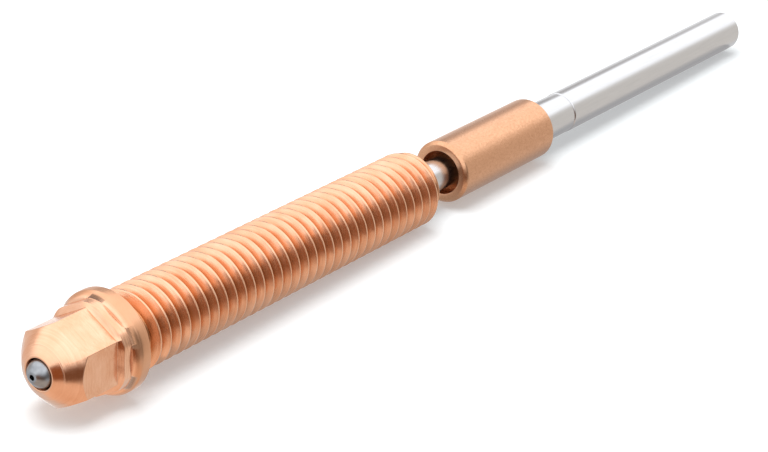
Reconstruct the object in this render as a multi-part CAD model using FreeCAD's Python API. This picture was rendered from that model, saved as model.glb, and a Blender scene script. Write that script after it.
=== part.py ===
import FreeCAD, Part
import math
import os

# Long nozzle of a filament printer, lying on its side as it comes to rest.
# Sizes are in millimetres. A station is a distance along the axis from the orifice face.

# Copper body, from the lip round the tip to the collar
lip_station = 0.62
lip_width = 0.1
brow_station = 1.0
brow_radius = 1.87
nose_rise = 1.0
hex_across_flats = 5.5
hex_end = 5.25
step_hex_across_flats = 6.4
step_hex_radius = 3.4
step_hex_end = 6.0
collar_radius = 3.75
collar_bevel_end = 6.6
collar_end = 7.45
collar_back_bevel = 0.12

# Threaded shank of the copper body, M6 with 1 mm pitch: a plain cylinder at the thread's major
# diameter, with the relief behind the collar and the bevels that the thread runs out on
relief_radius = 2.35
relief_wall_angle = 30.0
relief_end = 8.15
seat_clearance = 0.05
thread_diameter = 6.0
thread_bevel_angle = 45.0
shank_end = 42.2
shank_end_radius = 2.45

# Hardened steel tip, held behind the copper lip by its shoulder
orifice_radius = 0.2
orifice_land = 0.6
tip_flat_radius = 0.36
tip_dome_end = 0.72
tip_dome_bulge = 0.1
tip_neck_radius = 1.0
tip_ring_gap = 0.15
tip_shoulder = 1.4
tip_body_radius = 1.6
tip_end = 6.0
melt_cone_angle = 30.0

# Filament path, one bore from the cone in the tip to the rear mouth
bore_radius = 1.0
inlet_bevel = 0.25

# Heat break: plug in the copper body, thin neck, seat under the sleeve, stub with the shoulder that
# stops the sleeve, spigot in the guide tube
plug_radius = 1.6
plug_start = 34.2
neck_radius = 1.25
sleeve_seat_radius = 1.5
sleeve_seat_start = 48.35
stub_radius = 1.67
stub_end = 63.0
spigot_radius = 1.32
spigot_length = 5.0
spigot_end_gap = 0.2
seam_bevel = 0.08

# Copper sleeve pressed over the heat break
sleeve_radius = 2.5
sleeve_start = 45.85
sleeve_end = 58.6
sleeve_bevel = 0.25
sleeve_mouth_radius = 1.75

# Polished steel guide tube
tube_radius = 1.7
tube_end = 91.1
tube_end_round = 0.22

thread_radius = thread_diameter / 2


def at(station, radius):
    return FreeCAD.Vector(station, 0, radius)


def spun(face):
    return face.revolve(FreeCAD.Vector(0, 0, 0), FreeCAD.Vector(1, 0, 0), 360)


def turned(outline):
    # The outline is a closed list of (station, radius) corners.
    corners = [at(station, radius) for station, radius in outline]
    return spun(Part.Face(Part.makePolygon(corners + corners[:1])))


def rod(radius, start, end):
    return turned([(start, 0), (start, radius), (end, radius), (end, 0)])


def hexagon(across_flats, start, end):
    # Two corners point straight up and down, as the part lies.
    corner = across_flats / math.sqrt(3)
    corners = []
    for side in range(7):
        turn = math.radians(60 * side)
        corners.append(FreeCAD.Vector(start, corner * math.sin(turn), corner * math.cos(turn)))
    return Part.Face(Part.makePolygon(corners)).extrude(FreeCAD.Vector(end - start, 0, 0))


def bevel_length(radius):
    return (thread_radius - radius) / math.tan(math.radians(thread_bevel_angle))


def shank():
    # The relief starts outside the thread, so that a block passes over the thread to the collar.
    seat_radius = thread_radius + seat_clearance
    wall_length = (seat_radius - relief_radius) * math.tan(math.radians(relief_wall_angle))
    return turned([
        (collar_bevel_end, 0),
        (collar_bevel_end, seat_radius),
        (collar_end, seat_radius),
        (collar_end + wall_length, relief_radius),
        (relief_end, relief_radius),
        (relief_end + bevel_length(relief_radius), thread_radius),
        (shank_end - bevel_length(shank_end_radius), thread_radius),
        (shank_end, shank_end_radius),
        (shank_end, 0),
    ])


def head():
    nose_end = brow_station + (step_hex_radius - brow_radius) / nose_rise
    lip_inner = tip_neck_radius + tip_ring_gap
    blank = turned([
        (lip_station, 0),
        (lip_station, lip_inner + lip_width),
        (brow_station, brow_radius),
        (nose_end, step_hex_radius),
        (step_hex_end, step_hex_radius),
        (collar_bevel_end, collar_radius),
        (collar_end - collar_back_bevel, collar_radius),
        (collar_end, collar_radius - collar_back_bevel),
        (collar_end, 0),
    ])
    front = hexagon(hex_across_flats, 0, hex_end)
    step = hexagon(step_hex_across_flats, hex_end, step_hex_end)
    rest = rod(2 * collar_radius, step_hex_end, collar_end)
    return blank.common(front.fuse(step).fuse(rest))


def nozzle_body():
    lip_inner = tip_neck_radius + tip_ring_gap
    bore = turned([
        (0, 0),
        (0, lip_inner),
        (tip_shoulder, lip_inner),
        (tip_shoulder, tip_body_radius),
        (tip_end, tip_body_radius),
        (tip_end, bore_radius),
        (plug_start, bore_radius),
        (plug_start, plug_radius),
        (shank_end, plug_radius),
        (shank_end, 0),
    ])
    return head().fuse(shank()).cut(bore).removeSplitter()


def tip_insert():
    cone_length = (bore_radius - orifice_radius) / math.tan(math.radians(melt_cone_angle))
    dome_start = at(0, tip_flat_radius)
    dome_stop = at(tip_dome_end, tip_neck_radius)
    across = dome_stop - dome_start
    outward = FreeCAD.Vector(-across.z, 0, across.x).normalize()
    crown = (dome_start + dome_stop) / 2 + outward * tip_dome_bulge
    straight = [
        dome_stop,
        at(tip_shoulder, tip_neck_radius),
        at(tip_shoulder, tip_body_radius),
        at(tip_end, tip_body_radius),
        at(tip_end, bore_radius),
        at(orifice_land + cone_length, bore_radius),
        at(orifice_land, orifice_radius),
        at(0, orifice_radius),
        dome_start,
    ]
    edges = [Part.Arc(dome_start, crown, dome_stop).toShape()]
    edges += Part.makePolygon(straight).Edges
    return spun(Part.Face(Part.Wire(edges)))


def heat_break():
    return turned([
        (plug_start, bore_radius),
        (plug_start, plug_radius),
        (shank_end, plug_radius),
        (shank_end, neck_radius),
        (sleeve_seat_start, neck_radius),
        (sleeve_seat_start, sleeve_seat_radius),
        (sleeve_end, sleeve_seat_radius),
        (sleeve_end, stub_radius),
        (stub_end - seam_bevel, stub_radius),
        (stub_end, stub_radius - seam_bevel),
        (stub_end, spigot_radius),
        (stub_end + spigot_length, spigot_radius),
        (stub_end + spigot_length, bore_radius),
    ])


def sleeve():
    return turned([
        (sleeve_start, sleeve_mouth_radius),
        (sleeve_start, sleeve_radius - sleeve_bevel),
        (sleeve_start + sleeve_bevel, sleeve_radius),
        (sleeve_end - sleeve_bevel, sleeve_radius),
        (sleeve_end, sleeve_radius - sleeve_bevel),
        (sleeve_end, sleeve_seat_radius),
        (sleeve_seat_start, sleeve_seat_radius),
        (sleeve_seat_start, sleeve_mouth_radius),
    ])


def guide_tube():
    counterbore_end = stub_end + spigot_length + spigot_end_gap
    tube = turned([
        (stub_end, spigot_radius),
        (stub_end, tube_radius - seam_bevel),
        (stub_end + seam_bevel, tube_radius),
        (tube_end, tube_radius),
        (tube_end, bore_radius + inlet_bevel),
        (tube_end - inlet_bevel, bore_radius),
        (counterbore_end, bore_radius),
        (counterbore_end, spigot_radius),
    ])
    rim = [edge for edge in tube.Edges if is_circle(edge, tube_end, tube_radius)]
    return tube.makeFillet(tube_end_round, rim)


def is_circle(edge, station, radius):
    if not isinstance(edge.Curve, Part.Circle):
        return False
    same_place = abs(edge.Curve.Center.x - station) < 1e-6
    return same_place and abs(edge.Curve.Radius - radius) < 1e-6


def resting_place():
    # The part lies on the collar's rim and on the rear end of the thread, so its axis dips to
    # the rear. The origin is on the axis, in the plane of the collar's back face.
    front_contact = collar_end - collar_back_bevel
    rear_contact = shank_end - bevel_length(shank_end_radius)
    dip = math.atan2(collar_radius - thread_radius, rear_contact - front_contact)
    to_seat = FreeCAD.Placement(FreeCAD.Vector(-collar_end, 0, 0), FreeCAD.Rotation())
    lean = FreeCAD.Rotation(FreeCAD.Vector(0, 1, 0), math.degrees(dip))
    return FreeCAD.Placement(FreeCAD.Vector(0, 0, 0), lean) * to_seat


def write(name, shape, place):
    laid = shape.copy()
    laid.Placement = place * laid.Placement
    laid.exportStep(os.path.join("parts", name + ".step"))


os.makedirs("parts", exist_ok=True)
place = resting_place()
write("nozzle_body", nozzle_body(), place)
write("tip_insert", tip_insert(), place)
write("heat_break", heat_break(), place)
write("heat_sink_sleeve", sleeve(), place)
write("guide_tube", guide_tube(), place)
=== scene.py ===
import math

import bpy
import numpy as np
from mathutils import Matrix, Vector


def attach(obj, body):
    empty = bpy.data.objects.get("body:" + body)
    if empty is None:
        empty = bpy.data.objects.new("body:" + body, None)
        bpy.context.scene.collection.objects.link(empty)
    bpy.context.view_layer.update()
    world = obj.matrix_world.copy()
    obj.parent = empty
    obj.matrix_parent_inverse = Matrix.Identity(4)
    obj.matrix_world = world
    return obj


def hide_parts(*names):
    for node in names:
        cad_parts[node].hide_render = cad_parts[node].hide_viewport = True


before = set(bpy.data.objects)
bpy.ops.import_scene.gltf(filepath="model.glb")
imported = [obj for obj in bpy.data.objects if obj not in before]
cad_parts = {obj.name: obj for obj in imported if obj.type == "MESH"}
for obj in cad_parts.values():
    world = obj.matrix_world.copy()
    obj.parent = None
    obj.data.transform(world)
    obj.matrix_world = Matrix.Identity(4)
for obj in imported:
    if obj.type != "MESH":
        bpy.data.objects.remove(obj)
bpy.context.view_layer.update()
print("stage: frame loaded")

mm = 0.001

# how the nozzle lies: the axis dips to the rear, and the origin is at the collar's back face
lie = {
    "seatStation": 7.45,
    "dipDegrees": 1.251894,
    "columns": 144,                       # round a turned piece
    "flatWeight": 80,                     # how far large faces lead the shading of small ones
}
dipCos = math.cos(math.radians(lie["dipDegrees"]))
dipSin = math.sin(math.radians(lie["dipDegrees"]))


def place(station, radius, angle):
    # point = axis point at the station + radius * (up * cos(angle) - side * sin(angle)), all dipped,
    # so that a growing angle turns right-handed about the axis
    along = station - lie["seatStation"]
    up = radius * np.cos(angle)
    return np.stack([
        along * dipCos + up * dipSin,
        0 * along - radius * np.sin(angle),
        up * dipCos - along * dipSin,
    ], axis=-1) * mm


def softCorners(points, cuts, steps=4):
    # each corner P becomes a curve P0*(1-t)^2 + 2*P*t*(1-t) + P1*t^2, where P0 and P1 lie the cut's
    # length before and after it; points are (corners, columns, 2) arrays of station and radius
    rows = []
    count = len(points)
    for index, cut in enumerate(cuts):
        corner = points[index]
        if cut <= 0:
            rows.append(corner)
            continue
        before = points[(index - 1) % count] - corner
        after = points[(index + 1) % count] - corner
        start = corner + before / np.linalg.norm(before, axis=-1, keepdims=True) * cut
        stop = corner + after / np.linalg.norm(after, axis=-1, keepdims=True) * cut
        for t in np.linspace(0, 1, steps + 1):
            rows.append(start * (1 - t) ** 2 + 2 * corner * t * (1 - t) + stop * t ** 2)
    return np.array(rows)


def ringFaces(rows, columns, closed):
    # quads between each ring and the next, and from the last ring to the first if the loop is closed
    upper = np.arange(rows if closed else rows - 1)
    row, column = np.meshgrid(upper, np.arange(columns), indexing="ij")
    nextRow = (row + 1) % rows
    nextColumn = (column + 1) % columns
    corners = [row * columns + column, row * columns + nextColumn,
               nextRow * columns + nextColumn, nextRow * columns + column]
    return np.stack(corners, axis=-1).reshape(-1, 4)


def meshPiece(name, vertices, quads, nodes):
    # quads with a repeated corner become triangles, and those that closed to a line are left out
    sameNext = quads == np.roll(quads, -1, axis=1)
    whole = quads[sameNext.sum(axis=1) == 0]
    folded = sameNext.sum(axis=1) == 1
    triangles = np.take_along_axis(quads[folded], np.argsort(sameNext[folded], axis=1,
                                                             kind="stable")[:, :3], axis=1)
    mesh = bpy.data.meshes.new(name)
    loops = np.concatenate([whole.ravel(), triangles.ravel()]).astype(np.int32)
    sizes = np.concatenate([np.full(len(whole), 4), np.full(len(triangles), 3)])
    starts = np.concatenate([[0], np.cumsum(sizes)[:-1]]).astype(np.int32)
    used, loops = np.unique(loops, return_inverse=True)
    vertices = vertices[used]
    mesh.vertices.add(len(vertices))
    mesh.vertices.foreach_set("co", vertices.astype(np.float32).ravel())
    mesh.loops.add(len(loops))
    mesh.loops.foreach_set("vertex_index", loops.astype(np.int32).ravel())
    mesh.polygons.add(len(sizes))
    mesh.polygons.foreach_set("loop_start", starts)
    mesh.update(calc_edges=True)
    mesh.validate()
    mesh.polygons.foreach_set("use_smooth", np.ones(len(mesh.polygons), bool))
    piece = bpy.data.objects.new(name, mesh)
    bpy.context.scene.collection.objects.link(piece)
    weighted = piece.modifiers.new("flatShading", "WEIGHTED_NORMAL")
    weighted.mode = "FACE_AREA"
    weighted.weight = lie["flatWeight"]
    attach(piece, "root")
    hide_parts(*nodes)
    return piece


def turnedPiece(name, outline, nodes, steps=4):
    # a closed outline of (station, radius, corner cut) spun round the axis, in equal angles
    angles = np.arange(lie["columns"]) * 2 * math.pi / lie["columns"]
    corners = np.array([corner[:2] for corner in outline], float)
    points = np.repeat(corners[:, None, :], lie["columns"], axis=1)
    rows = softCorners(points, [corner[2] for corner in outline], steps)
    vertices = place(rows[..., 0], rows[..., 1], angles[None, :]).reshape(-1, 3)
    return meshPiece(name, vertices, ringFaces(len(rows), lie["columns"], True), nodes)


body = {
    "lip": (0.62, 0.1, 1.15),             # station, width and inner radius
    "lipBevel": (0.22, 0.1),              # length and depth of the bevel inside the lip
    "browGroove": 0.06,                   # width of the turned line round the brow
    "stepSlope": 0.1,                     # half the length of the step's sloping wall
    "brow": (1.0, 1.87),                  # station and radius
    "noseRise": 1.0,
    "acrossFlats": 5.5,
    "hexEnd": 5.25,
    "stepAcrossFlats": 6.4,
    "stepRadius": 3.4,
    "stepEnd": 6.0,
    "collarRadius": 3.744,                # a hair inside the solid's facets
    "collarBevelEnd": 6.6,
    "collarEnd": 7.45,
    "collarBackBevel": 0.12,
    "hexCornerRound": 0.07,
    "columnDegrees": (0, 0.35, 0.7, 1.02, 2.2, 5.0, 8.5, 12.5, 17.0, 21.5, 25.8, 30),
    "stepLedge": 0.004,
    "reliefRadius": 2.35,
    "reliefEnd": 8.15,
    "seatRadius": 3.05,
    "reliefWallLength": 0.404,
    "threadRadius": 3.0,
    "threadPitch": 1.0,
    "spareTurns": 2,                      # helix rows before and after the shank, cut off at its ends
    "threadDepth": 0.6134,
    "flankDegrees": 30,
    "crestShare": 0.125,
    "crestInner": 0.6,                    # rows on the crest, by share of its half width
    "flankShares": (0.17, 0.29),          # rows on each flank, by share of a pitch
    "edgeShare": 0.012,                   # rows just inside each edge of a flank
    "reliefLap": 0.04,                    # how far before the relief's end the helix rows start
    "end": (42.2, 2.45),
    "plug": (34.2, 1.6),
    "tipSeat": (6.0, 1.6),
    "tipShoulder": 1.4,
    "bore": 1.0,
}


def hexRadius(acrossFlats, rounding, angle):
    # distance from the axis to a hexagon with rounded corners, corners at 0, 60, 120 ... degrees:
    # apothem / cos(angle from the flat's middle), or a small arc round each corner
    apothem = acrossFlats / 2
    turn = (angle + math.pi / 6) % (math.pi / 3) - math.pi / 6      # from the nearest corner
    flat = apothem / np.cos(math.pi / 6 - np.abs(turn))
    centre = (apothem - rounding) / math.cos(math.pi / 6)
    inside = np.clip(rounding ** 2 - (centre * np.sin(turn)) ** 2, 0, None)
    arc = centre * np.cos(turn) + np.sqrt(inside)
    limit = math.atan2(rounding * 0.5, centre + rounding * math.cos(math.pi / 6))
    return np.where(np.abs(turn) < limit, arc, flat)


def bodyAngles():
    # 22 columns to a flat, at these degrees from each of its two corners: the first four cover half
    # of the corner's rounding
    half = np.radians(body["columnDegrees"])
    sector = np.concatenate([half, math.pi / 3 - half[1:-1][::-1]])
    return (np.arange(6)[:, None] * math.pi / 3 + sector[None, :]).ravel()


def threadRadius(phase):
    # 60 degree thread: radius = major radius - (distance from the crest's edge) / tan(30 degrees),
    # between a flat crest and a flat root
    share = np.abs((phase + 0.5) % 1 - 0.5) * body["threadPitch"]
    halfCrest = body["crestShare"] * body["threadPitch"] / 2
    drop = (share - halfCrest) / math.tan(math.radians(body["flankDegrees"]))
    return body["threadRadius"] - np.clip(drop, 0, body["threadDepth"])


def shankRadius(station, angle):
    # the smaller of the thread and the turned shank, whose bevels at the relief and at the end
    # rise and fall by 1 mm of radius a millimetre; the thread moves on by a pitch each turn
    lead = angle / (2 * math.pi) * body["threadPitch"]
    thread = threadRadius((station - lead) / body["threadPitch"])
    rise = body["reliefRadius"] + np.clip(station - body["reliefEnd"], 0, None)
    fall = body["end"][1] + (body["end"][0] - station)
    return np.minimum(np.minimum(thread, rise), fall)


def makeBody():
    # rings of station and radius from the bore's rear end forwards, round the lip and back over the
    # nose: station = brow + (radius - brow radius) / rise, which cuts the flats in curves; then the
    # step, the collar and the relief, and from there the helix
    angles = bodyAngles()
    columns = len(angles)
    front = hexRadius(body["acrossFlats"], body["hexCornerRound"], angles)
    step = np.minimum(hexRadius(body["stepAcrossFlats"], body["hexCornerRound"], angles),
                      body["stepRadius"])
    lipStation, lipWidth, lipInner = body["lip"]
    browStation, browRadius = body["brow"]
    grooveWidth = body["browGroove"]
    meet = browStation + (front - browRadius) / body["noseRise"]
    full = np.ones(columns)

    def ring(station, radius):
        return np.stack([station * full, radius * full], axis=-1)

    plugStart, plugRadius = body["plug"]
    tipSeat, tipRadius = body["tipSeat"]
    endStation = body["end"][0]
    outline = [
        (ring(endStation, plugRadius), 0.04),
        (ring(plugStart, plugRadius), 0),
        (ring(plugStart, body["bore"]), 0),
        (ring(tipSeat, body["bore"]), 0),
        (ring(tipSeat, tipRadius), 0),
        (ring(body["tipShoulder"], tipRadius), 0),
        (ring(body["tipShoulder"], lipInner - body["lipBevel"][1]), 0),
        (ring(lipStation + body["lipBevel"][0], lipInner - body["lipBevel"][1]), 0),
        (ring(lipStation, lipInner), 0.03),
        (ring(lipStation, lipInner + lipWidth), 0.04),
        (ring(browStation, browRadius), 0.01),
        (ring(browStation + grooveWidth / 2, browRadius - grooveWidth), 0),
        (ring(browStation + grooveWidth, browRadius + grooveWidth * body["noseRise"]), 0.015),
        (ring(meet, front), 0.05),
        (ring(body["hexEnd"] - body["stepSlope"], front), 0.03),
        (ring(body["hexEnd"] + body["stepSlope"], step), 0.03),
        (ring(body["stepEnd"], step), 0.03),
        (ring(body["stepEnd"], body["stepRadius"] + body["stepLedge"]), 0),
        (ring(body["collarBevelEnd"], body["collarRadius"]), 0.08),
        (ring(body["collarEnd"] - body["collarBackBevel"], body["collarRadius"]), 0.04),
        (ring(body["collarEnd"], body["collarRadius"] - body["collarBackBevel"]), 0.03),
        (ring(body["collarEnd"], body["seatRadius"]), 0.03),
        (ring(body["collarEnd"] + body["reliefWallLength"], body["reliefRadius"]), 0.05),
        (ring(body["reliefEnd"] - body["reliefLap"], body["reliefRadius"]), 0),
    ]
    points = np.array([ringPoints for ringPoints, cut in outline])
    rows = softCorners(points, [cut if 0 < index < len(outline) - 1 else 0
                                for index, (ringPoints, cut) in enumerate(outline)])

    # the thread's rows follow the helix, so each row ends one pitch on, at the row that starts there
    pitch = body["threadPitch"]
    halfCrest = body["crestShare"] / 2
    flankEnd = halfCrest + body["threadDepth"] * math.tan(math.radians(body["flankDegrees"]))
    edge = body["edgeShare"]
    upper, lower = body["flankShares"]
    inner = halfCrest * body["crestInner"]
    phases = np.array([-halfCrest, -inner, inner, halfCrest,
                       halfCrest + edge, upper, lower, flankEnd - edge,
                       flankEnd, 0.5, 1 - flankEnd, 1 - flankEnd + edge, 1 - lower, 1 - upper,
                       1 - halfCrest - edge])
    startStation = body["reliefEnd"] - body["reliefLap"]
    firstTurn = math.floor(startStation / pitch) - body["spareTurns"]
    turns = math.ceil(endStation / pitch) + body["spareTurns"] - firstTurn
    starts = ((np.arange(turns)[:, None] + firstTurn + phases[None, :]) * pitch).ravel()
    perTurn = len(phases)
    stations = np.clip(starts[:, None] + angles[None, :] / (2 * math.pi) * pitch,
                       startStation, endStation)
    radii = shankRadius(stations, angles[None, :])
    radii = np.where(stations <= startStation, body["reliefRadius"], radii)

    shankBase = len(rows) * columns
    allRows = np.concatenate([rows, np.stack([stations, radii], axis=-1)])
    vertices = place(allRows[..., 0], allRows[..., 1], angles[None, :]).reshape(-1, 3)

    column = np.arange(columns)
    lastRing = (len(rows) - 1) * columns + column
    endRing = shankBase + (len(starts) - 1) * columns + column
    ids = shankBase + np.arange(len(starts))[:, None] * columns + column[None, :]
    ids = np.where(stations <= startStation, lastRing[None, :], ids)
    ids = np.where(stations >= endStation, endRing[None, :], ids)
    following = np.concatenate([ids[:, 1:], np.roll(ids[:, :1], -perTurn, axis=0)], axis=1)
    following[-perTurn:, -1] = endRing[0]
    quads = np.stack([ids[:-1], following[:-1], following[1:], ids[1:]], axis=-1).reshape(-1, 4)
    close = np.stack([endRing, np.roll(endRing, -1), np.roll(column, -1), column], axis=-1)
    quads = np.concatenate([ringFaces(len(rows), columns, False), quads, close])
    return meshPiece("copper_body", vertices, quads, ["nozzle_body"])


tip = {
    "orifice": 0.2,
    "land": 0.6,
    "flatRadius": 0.36,
    "domeEnd": (0.72, 1.0),
    "domeBulge": 0.1,
    "domeRows": 15,
    "shoulder": 1.4,
    "bodyRadius": 1.6,
    "end": 6.0,
    "bore": 1.0,
    "coneDegrees": 30,
}


def makeTip():
    # the dome is a shallow bow from the flat to the neck: start + t * across + 4 * bulge * t * (1 - t)
    share = np.linspace(0, 1, tip["domeRows"])
    across = np.array(tip["domeEnd"]) - (0, tip["flatRadius"])
    outward = np.array([-across[1], across[0]]) / np.linalg.norm(across)
    bow = (np.array([0, tip["flatRadius"]]) + share[:, None] * across
           + 4 * tip["domeBulge"] * (share * (1 - share))[:, None] * outward)
    outline = [(station, radius, 0) for station, radius in bow]
    coneLength = (tip["bore"] - tip["orifice"]) / math.tan(math.radians(tip["coneDegrees"]))
    outline += [
        (tip["shoulder"], tip["domeEnd"][1], 0),
        (tip["shoulder"], tip["bodyRadius"], 0),
        (tip["end"], tip["bodyRadius"], 0),
        (tip["end"], tip["bore"], 0),
        (tip["land"] + coneLength, tip["bore"], 0),
        (tip["land"], tip["orifice"], 0),
        (0, tip["orifice"], 0.025),
    ]
    return turnedPiece("steel_tip", outline, ["tip_insert"])


tubes = {
    "bore": 1.0,
    "plug": (34.2, 1.6),
    "neck": (42.2, 1.25),
    "sleeveSeat": (48.35, 1.5),
    "stub": (58.6, 1.67),
    "seam": 63.0,
    "seamBevel": 0.08,
    "spigot": (68.0, 1.32),
    "spigotGap": 0.2,
    "tubeRadius": 1.7,
    "tubeEnd": 91.1,
    "endRound": 0.22,
    "inletBevel": 0.25,
}


def makeHeatBreak():
    # from the plug's front edge back over the outside to the spigot's end; the bore closes the loop
    spigotEnd, spigotRadius = tubes["spigot"]
    seam, bevel = tubes["seam"], tubes["seamBevel"]
    return turnedPiece("heat_break_tube", [
        (tubes["plug"][0], tubes["bore"], 0),
        (*tubes["plug"], 0),
        (tubes["neck"][0], tubes["plug"][1], 0.04),
        (*tubes["neck"], 0.1),
        (tubes["sleeveSeat"][0], tubes["neck"][1], 0.1),
        (*tubes["sleeveSeat"], 0.03),
        (tubes["stub"][0], tubes["sleeveSeat"][1], 0),
        (*tubes["stub"], 0.03),
        (seam - bevel, tubes["stub"][1], 0.03),
        (seam, tubes["stub"][1] - bevel, 0),
        (seam, spigotRadius, 0),
        (spigotEnd, spigotRadius, 0),
        (spigotEnd, tubes["bore"], 0),
    ], ["heat_break"])


def makeGuideTube():
    # from the seam back over the outside, round the rear mouth and forwards to the counterbore
    spigotEnd, spigotRadius = tubes["spigot"]
    seam, bevel, radius = tubes["seam"], tubes["seamBevel"], tubes["tubeRadius"]
    end, bore = tubes["tubeEnd"], tubes["bore"]
    return turnedPiece("guide_tube_polished", [
        (seam, spigotRadius, 0),
        (seam, radius - bevel, 0),
        (seam + bevel, radius, 0.03),
        (end, radius, tubes["endRound"]),
        (end, bore + tubes["inletBevel"], 0.04),
        (end - tubes["inletBevel"], bore, 0.04),
        (spigotEnd + tubes["spigotGap"], bore, 0),
        (spigotEnd + tubes["spigotGap"], spigotRadius, 0),
    ], ["guide_tube"], steps=8)


sleeve = {
    "start": 45.85,
    "end": 58.6,
    "radius": 2.5,
    "bevel": 0.25,
    "mouthRadius": 1.75,
    "mouthEnd": 48.35,
    "seatRadius": 1.5,
}


def makeSleeve():
    # from the front mouth back over the outside to the seat, and forwards to the mouth's shoulder
    start, end, radius, bevel = (sleeve[key] for key in ("start", "end", "radius", "bevel"))
    return turnedPiece("copper_sleeve", [
        (start, sleeve["mouthRadius"], 0.05),
        (start, radius - bevel, 0.05),
        (start + bevel, radius, 0.08),
        (end - bevel, radius, 0.08),
        (end, radius - bevel, 0.05),
        (end, sleeve["seatRadius"], 0),
        (sleeve["mouthEnd"], sleeve["seatRadius"], 0),
        (sleeve["mouthEnd"], sleeve["mouthRadius"], 0),
    ], ["heat_sink_sleeve"])


class Socket:
    # one output of a node; Python's operators on it add Math nodes
    def __init__(self, tree, output):
        self.tree = tree
        self.output = output

    def math(self, operation, *values):
        return addNode(self.tree, "ShaderNodeMath", {"operation": operation},
                       dict(enumerate(values)))

    def __add__(self, other):
        return self.math("ADD", self, other)

    def __radd__(self, other):
        return self.math("ADD", other, self)

    def __sub__(self, other):
        return self.math("SUBTRACT", self, other)

    def __mul__(self, other):
        return self.math("MULTIPLY", self, other)

    def __truediv__(self, other):
        return self.math("DIVIDE", self, other)

    def clamped(self, low=0, high=1):
        return self.math("MINIMUM", self.math("MAXIMUM", self, low), high)


def addNode(tree, kind, settings, values, output=0):
    # settings are set before values, because they can change which sockets there are
    node = tree.nodes.new(kind)
    for name, setting in settings.items():
        setattr(node, name, setting)
    for name, value in values.items():
        if isinstance(value, Socket):
            tree.links.new(value.output, node.inputs[name])
        else:
            node.inputs[name].default_value = value
    return Socket(tree, node.outputs[output])


def newMaterial(name):
    material = bpy.data.materials.new(name)
    material.use_nodes = True
    material.node_tree.nodes.clear()
    return material, material.node_tree


def finish(tree, surface, kind="ShaderNodeOutputMaterial"):
    tree.links.new(surface.output, tree.nodes.new(kind).inputs["Surface"])


def finishMaterial(tree, constants, varying):
    # a Principled surface: fixed numbers on its own sockets, what changes over the piece by links
    surface = addNode(tree, "ShaderNodeBsdfPrincipled", {}, {**constants, **varying}, "BSDF")
    finish(tree, surface)


def alongAxis(tree):
    # millimetres along the axis from the collar's back face = x * cos(dip) - z * sin(dip), then up
    # from the axis = x * sin(dip) + z * cos(dip), and to its side = y
    point = addNode(tree, "ShaderNodeTexCoord", {}, {}, "Object")
    x, y, z = (addNode(tree, "ShaderNodeSeparateXYZ", {}, {"Vector": point}, axis) for axis in "XYZ")
    along = (x * dipCos - z * dipSin) / mm
    up = (x * dipSin + z * dipCos) / mm
    return along, up, y / mm


def noise(tree, x, y, z, detail=2.0):
    # cloudy noise from 0 to 1 whose blotches are about one unit of x, y and z across
    vector = addNode(tree, "ShaderNodeCombineXYZ", {}, {"X": x, "Y": y, "Z": z}, "Vector")
    return addNode(tree, "ShaderNodeTexNoise", {}, {"Vector": vector, "Scale": 1.0,
                                                    "Detail": detail}, "Fac")


def colourMix(tree, share, first, second):
    # first * (1 - share) + second * share, where each is a colour or a socket
    return addNode(tree, "ShaderNodeMix", {"data_type": "RGBA"},
                   {"Factor": share, 6: (*first, 1) if isinstance(first, tuple) else first,
                    7: (*second, 1) if isinstance(second, tuple) else second}, 2)


def smoothStep(tree, value, low, high, first=0.0, last=1.0):
    # first + (last - first) * t * t * (3 - 2 * t), where t runs from 0 at low to 1 at high
    return addNode(tree, "ShaderNodeMapRange", {"interpolation_type": "SMOOTHSTEP"},
                   {"Value": value, "From Min": low, "From Max": high, "To Min": first,
                    "To Max": last})


def bumped(tree, height, distance, under=None):
    # a bump of the given depth, laid over another one if there is one under it
    values = {"Height": height, "Distance": distance, "Strength": 1.0}
    if under:
        values["Normal"] = under
    return addNode(tree, "ShaderNodeBump", {}, values, "Normal")


copper = {
    "bright": (0.91, 0.56, 0.39),
    "deep": (0.78, 0.40, 0.235),
    # painted shade: the colour of the thread's roots, drawn darker as if in shadow
    "paintedRootShade": (0.66, 0.30, 0.14),
    "rim": (0.70, 0.37, 0.215),
    "roughness": 0.19,
    "threadDull": 0.07,                 # how much rougher the thread and the collar's rim are
    "rimDull": 0.12,
    "lineDepth": 0.010,
    "bumpShare": (0.7, 0.3),            # of the line's depth, by lines and by fine lines
    "waveDepth": 0.04,
    "cloudsPerMm": 0.6,
    "linesPerMm": 8,
    "finePerMm": 30,
    "roundDrift": (0.25, 0.6),          # how fast lines and fine lines change on their way round
    "cloudShare": (1.5, 0.9, -0.7),     # deeper by clouds, by lines, and by this much less
    "roughVary": (0.2, 0.12),           # by lines and by clouds
    "threadFrom": (0, 0.7),             # mm along
    # painted shade deepens from the first radius to the second, towards the thread's roots
    "paintedRootShadeFrom": (2.85, 2.4),          # radius, mm
    "rimFrom": (3.42, 3.6),
    "rimShare": (0.8, 0.5),             # by clouds, and everywhere
}


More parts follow.
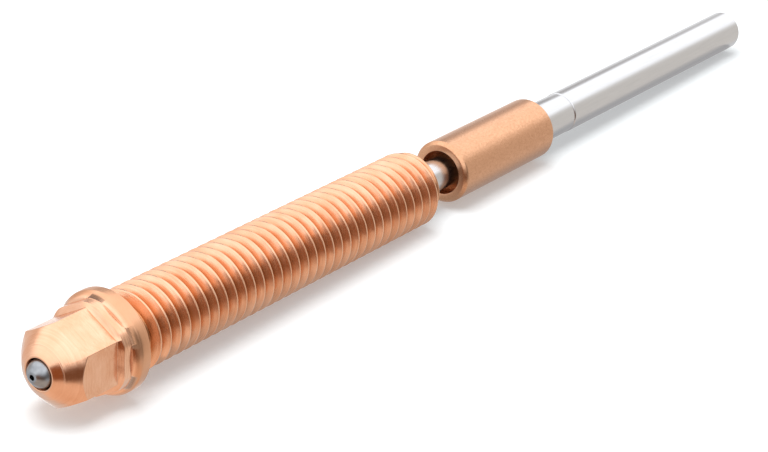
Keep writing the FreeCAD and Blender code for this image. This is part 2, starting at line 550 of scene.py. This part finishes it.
def polishedCopper():
    # colour = bright copper turned deeper by slow noise; turning lines = noise along the axis and
    # the radius only, so each line runs round; the lines lift the roughness and the normal, and
    # slow waves bend what the flats mirror; the thread is duller and carries painted shade that
    # darkens it towards its roots, and the collar's rim is duller and deeper coloured
    material, tree = newMaterial("polished copper")
    along, up, side = alongAxis(tree)
    squares = up * up + side * side
    radius = squares.math("SQRT", squares)
    cloud = copper["cloudsPerMm"]
    slow = noise(tree, along * cloud, up * cloud, side * cloud)
    line, hair = copper["linesPerMm"], copper["finePerMm"]
    lineDrift, hairDrift = copper["roundDrift"]
    lines = noise(tree, along * line, radius * line, side * lineDrift, detail=3)
    fine = noise(tree, along * hair, radius * hair, side * hairDrift)
    byCloud, byLine, less = copper["cloudShare"]
    share = (slow * byCloud + lines * byLine + less).clamped()
    colour = colourMix(tree, share, copper["bright"], copper["deep"])
    threaded = smoothStep(tree, along, *copper["threadFrom"])
    # painted shade: the thread darkens towards its roots, as if in shadow
    paintedRootShade = smoothStep(tree, radius, *copper["paintedRootShadeFrom"]) * threaded
    colour = colourMix(tree, paintedRootShade, colour, copper["paintedRootShade"])
    rim = smoothStep(tree, radius, *copper["rimFrom"])
    byCloud, always = copper["rimShare"]
    colour = colourMix(tree, rim * (slow * byCloud + always), colour, copper["rim"])
    lineRough, cloudRough = copper["roughVary"]
    roughness = (copper["roughness"] + (lines - 0.5) * lineRough + (slow - 0.5) * cloudRough
                 + threaded * copper["threadDull"] + rim * copper["rimDull"])
    byLine, byFine = copper["bumpShare"]
    turned = bumped(tree, lines * byLine + fine * byFine, copper["lineDepth"] * mm)
    normal = bumped(tree, slow, copper["waveDepth"] * mm, under=turned)
    finishMaterial(tree, {"Metallic": 1.0}, {"Base Color": colour, "Roughness": roughness,
                                             "Normal": normal})
    return material


satin = {
    "light": (0.76, 0.43, 0.265),
    "dark": (0.54, 0.275, 0.15),
    "roughness": 0.30,
    "roughVary": 0.2,
    "specksPerMm": (5, 7),              # along and across
    "bandsPerMm": 8,
    "share": (1.4, 0.4, -0.5),          # darker by specks, by bands, and by this much less
    "depth": 0.006,
}


def satinCopper():
    # colour = light to dark by fine specks and faint bands along the axis; the specks are also the
    # bump and the change of roughness
    material, tree = newMaterial("satin copper")
    along, up, side = alongAxis(tree)
    speckAlong, speckAcross = satin["specksPerMm"]
    specks = noise(tree, along * speckAlong, up * speckAcross, side * speckAcross, detail=4)
    bands = noise(tree, along * satin["bandsPerMm"], 0, 0)
    bySpeck, byBand, less = satin["share"]
    colour = colourMix(tree, (specks * bySpeck + bands * byBand + less).clamped(),
                       satin["light"], satin["dark"])
    roughness = satin["roughness"] + (specks - 0.5) * satin["roughVary"]
    normal = bumped(tree, specks, satin["depth"] * mm)
    finishMaterial(tree, {"Metallic": 1.0}, {"Base Color": colour, "Roughness": roughness,
                                             "Normal": normal})
    return material


steel = {
    "light": (0.665, 0.67, 0.69),
    "dark": (0.58, 0.585, 0.605),
    "roughness": 0.2,
    "roughVary": 0.1,
    "streaksPerMm": (0.4, 9),           # along and across
    "depth": 0.0008,
}


def polishedSteel():
    # colour = light to dark by streaks drawn out along the tube; they roughen it a little too
    material, tree = newMaterial("polished steel")
    along, up, side = alongAxis(tree)
    drawn, across = steel["streaksPerMm"]
    streaks = noise(tree, along * drawn, up * across, side * across, detail=3)
    colour = colourMix(tree, streaks, steel["light"], steel["dark"])
    roughness = steel["roughness"] + (streaks - 0.5) * steel["roughVary"]
    normal = bumped(tree, streaks, steel["depth"] * mm)
    finishMaterial(tree, {"Metallic": 1.0}, {"Base Color": colour, "Roughness": roughness,
                                             "Normal": normal})
    return material


hardened = {
    "light": (0.48, 0.50, 0.53),
    "dark": (0.15, 0.16, 0.18),
    "roughness": 0.30,
    "roughVary": 0.15,
    "patchesPerMm": 2,
    "linesPerMm": 30,
    "lineShare": 0.5,                   # of the depth, beside the patches
    "depth": 0.003,
}


def groundSteel():
    # colour = light to dark by grey patches; grinding lines run round the tip, as noise by station
    material, tree = newMaterial("ground dark steel")
    along, up, side = alongAxis(tree)
    patch = hardened["patchesPerMm"]
    patches = noise(tree, along * patch, up * patch, side * patch, detail=3)
    lines = noise(tree, along * hardened["linesPerMm"], 0, 0)
    colour = colourMix(tree, patches, hardened["light"], hardened["dark"])
    roughness = hardened["roughness"] + (patches - 0.5) * hardened["roughVary"]
    normal = bumped(tree, lines * hardened["lineShare"] + patches, hardened["depth"] * mm)
    finishMaterial(tree, {"Metallic": 1.0}, {"Base Color": colour, "Roughness": roughness,
                                             "Normal": normal})
    return material


finishes = [
    (makeBody, polishedCopper),
    (makeTip, groundSteel),
    (makeHeatBreak, polishedSteel),
    (makeSleeve, satinCopper),
    (makeGuideTube, polishedSteel),
]
made = {}
for makePiece, makeFinish in finishes:
    if makeFinish not in made:
        made[makeFinish] = makeFinish()
    piece = makePiece()
    piece.data.materials.append(made[makeFinish])
    print("stage:", piece.name, len(piece.data.polygons), "faces")


setting = {
    "floorSize": 1.2,
    "floorColour": (0.775, 0.81, 0.825),
    "floorGlow": 0.26,
    "skyDiffuse": 0.56,
}
lowest = -3.74648 * mm                   # where the collar's rim touches the floor


def floorMaterial():
    # a white matt floor, plus a little light of its own that only the camera sees
    material, tree = newMaterial("pale floor")
    matt = addNode(tree, "ShaderNodeBsdfDiffuse", {}, {"Color": (*setting["floorColour"], 1)},
                   "BSDF")
    seen = addNode(tree, "ShaderNodeLightPath", {}, {}, "Is Camera Ray")
    own = colourMix(tree, seen, (0, 0, 0), (setting["floorGlow"],) * 3)
    glow = addNode(tree, "ShaderNodeEmission", {}, {"Color": own, "Strength": 1.0})
    finish(tree, addNode(tree, "ShaderNodeAddShader", {}, {0: matt, 1: glow}))
    return material


def makeFloor():
    # one square round the origin, as low as the part's lowest point
    half = setting["floorSize"] / 2
    mesh = bpy.data.meshes.new("floor")
    mesh.from_pydata([(-half, -half, lowest), (half, -half, lowest), (half, half, lowest),
                      (-half, half, lowest)], [], [(0, 1, 2, 3)])
    floor = bpy.data.objects.new("floor", mesh)
    bpy.context.scene.collection.objects.link(floor)
    mesh.materials.append(floorMaterial())
    floor.visible_glossy = False        # metal mirrors the sky's own pale ground instead


sky = {
    # sine of the elevation where each part starts and ends, and its light there
    "ceiling": (-0.05, 0.5, 1.0, 1.62),
    "ground": (-0.15, -0.65, 0, -0.24),
    # patches: azimuth from +Y towards +X, elevation, where it ends and is whole, and its light
    "patches": [
        (138, -10, (48, 28), (0.84, 0.79, 0.73)),
        (174, 6, (38, 22), (0.30, 0.28, 0.26)),
        (12, 4, (36, 16), (0.86, 0.78, 0.72)),
        (53, -28, (18, 6), (1.5, 1.5, 1.5)),
        (50, 19, (18, 7), (0.54, 0.51, 0.50)),
        (-115, -62, (52, 30), (0.92, 0.72, 0.58)),
        (-110, -6, (26, 14), (0.28, 0.105, 0.04)),
        (-141, -12, (25, 10), (0.18, 0.09, 0.05)),
    ],
}


def patchShare(tree, x, y, z, azimuth, elevation, reach):
    # how far a direction lies inside a round patch of the surroundings, from 0 outside to 1 inside:
    # smooth step on the cosine of the angle from the patch's centre
    across, height = math.radians(azimuth), math.radians(elevation)
    cosine = (x * (math.sin(across) * math.cos(height)) + y * (math.cos(across) * math.cos(height))
              + z * math.sin(height))
    outer, inner = (math.cos(math.radians(angle)) for angle in reach)
    return smoothStep(tree, cosine, outer, inner)


def makeSky():
    # plain white for the camera and even light for the floor; metal mirrors a lit ceiling over a
    # paler ground, with round patches of other light mixed in one after another
    world = bpy.data.worlds.new("studio")
    bpy.context.scene.world = world
    world.use_nodes = True
    tree = world.node_tree
    tree.nodes.clear()
    direction = addNode(tree, "ShaderNodeTexCoord", {}, {}, "Generated")
    x, y, z = (addNode(tree, "ShaderNodeSeparateXYZ", {}, {"Vector": direction}, axis)
               for axis in "XYZ")
    mirrored = smoothStep(tree, z, *sky["ceiling"]) + smoothStep(tree, z, *sky["ground"])
    for azimuth, elevation, reach, light in sky["patches"]:
        mirrored = colourMix(tree, patchShare(tree, x, y, z, azimuth, elevation, reach), mirrored,
                             light)
    camera, glossy = (addNode(tree, "ShaderNodeLightPath", {}, {}, name)
                      for name in ("Is Camera Ray", "Is Glossy Ray"))
    plain = colourMix(tree, camera, (setting["skyDiffuse"],) * 3, (1, 1, 1))
    colour = colourMix(tree, glossy, plain, mirrored)
    shine = addNode(tree, "ShaderNodeBackground", {}, {"Color": colour, "Strength": 1}, 0)
    finish(tree, shine, "ShaderNodeOutputWorld")


# painted shadow under the part, seen only in the metal's reflections
shade = {
    "ends": (1.5, 84),                  # mm along the part
    "side": (-4.8, -1.5),               # clear and full on the right of the axis, mm
    "farSide": (3.2, 0.8),              # the same on its left
    "light": (0.50, 0.49, 0.49),
    "lift": 0.02,
}


def makeShade():
    # painted shadow: a dim sheet right under the part, seen only in its metal, standing in for
    # the part's shadow on the floor there; full near the axis, and clear by a smooth step to either
    # side
    x0, x1 = shade["ends"]
    y0, y1 = shade["side"][0], shade["farSide"][0]
    height = lowest / mm + shade["lift"]
    mesh = bpy.data.meshes.new("painted floor shadow")
    mesh.from_pydata([(x * mm, y * mm, height * mm)
                      for x, y in ((x0, y0), (x1, y0), (x1, y1), (x0, y1))], [], [(0, 1, 2, 3)])
    sheet = bpy.data.objects.new("painted floor shadow", mesh)
    bpy.context.scene.collection.objects.link(sheet)
    material, tree = newMaterial("painted floor shadow")
    point = addNode(tree, "ShaderNodeTexCoord", {}, {}, "Object")
    y = addNode(tree, "ShaderNodeSeparateXYZ", {}, {"Vector": point}, "Y") / mm
    share = smoothStep(tree, y, *shade["side"]) * smoothStep(tree, y, *shade["farSide"])
    dim = addNode(tree, "ShaderNodeEmission", {}, {"Color": (*shade["light"], 1), "Strength": 1}, 0)
    clear = addNode(tree, "ShaderNodeBsdfTransparent", {}, {}, 0)
    finish(tree, addNode(tree, "ShaderNodeMixShader", {}, {0: share, 1: clear, 2: dim}, 0))
    mesh.materials.append(material)
    for ray in ("camera", "diffuse", "transmission", "shadow"):
        setattr(sheet, "visible_" + ray, False)


lamps = [
    # name, place, aimed at, size, power in watts
    ("overhead", (-0.01, 0.015, 0.26), (0.03, 0, 0), (0.22, 0.20), 0.66),
]


def makeLamps():
    # each lamp's own -Z axis points from its place to its target
    for name, position, target, size, power in lamps:
        data = bpy.data.lights.new(name, "AREA")
        data.shape = "RECTANGLE"
        data.size, data.size_y = size
        data.energy = power
        lamp = bpy.data.objects.new(name, data)
        lamp.location = position
        aim = Vector(target) - Vector(position)
        lamp.rotation_euler = aim.to_track_quat("-Z", "Y").to_euler()
        lamp.visible_glossy = False
        bpy.context.scene.collection.objects.link(lamp)


viewpoint = {
    "place": (-0.10976, -0.09953, 0.07796),
    "forward": (0.73956, 0.52257, -0.42423),
    "up": (0.32391, 0.27620, 0.90488),
    "lens": 117.19,
    "sensorWidth": 36,
    "nearest": 0.01,                      # metres
}


def makeCamera():
    # the turn's columns are right = forward x up, then up, then back = -forward
    data = bpy.data.cameras.new("camera")
    data.lens = viewpoint["lens"]
    data.sensor_width = viewpoint["sensorWidth"]
    data.clip_start = viewpoint["nearest"]
    forward, up = Vector(viewpoint["forward"]), Vector(viewpoint["up"])
    turn = Matrix((forward.cross(up), up, -forward)).transposed()
    camera = bpy.data.objects.new("camera", data)
    camera.location = viewpoint["place"]
    camera.rotation_euler = turn.to_euler()
    bpy.context.scene.collection.objects.link(camera)
    bpy.context.scene.camera = camera


makeFloor()
makeSky()
makeShade()
makeLamps()
makeCamera()
bpy.context.scene.view_settings.view_transform = "Standard"
print("stage: floor, light and camera set")

bpy.context.view_layer.update()
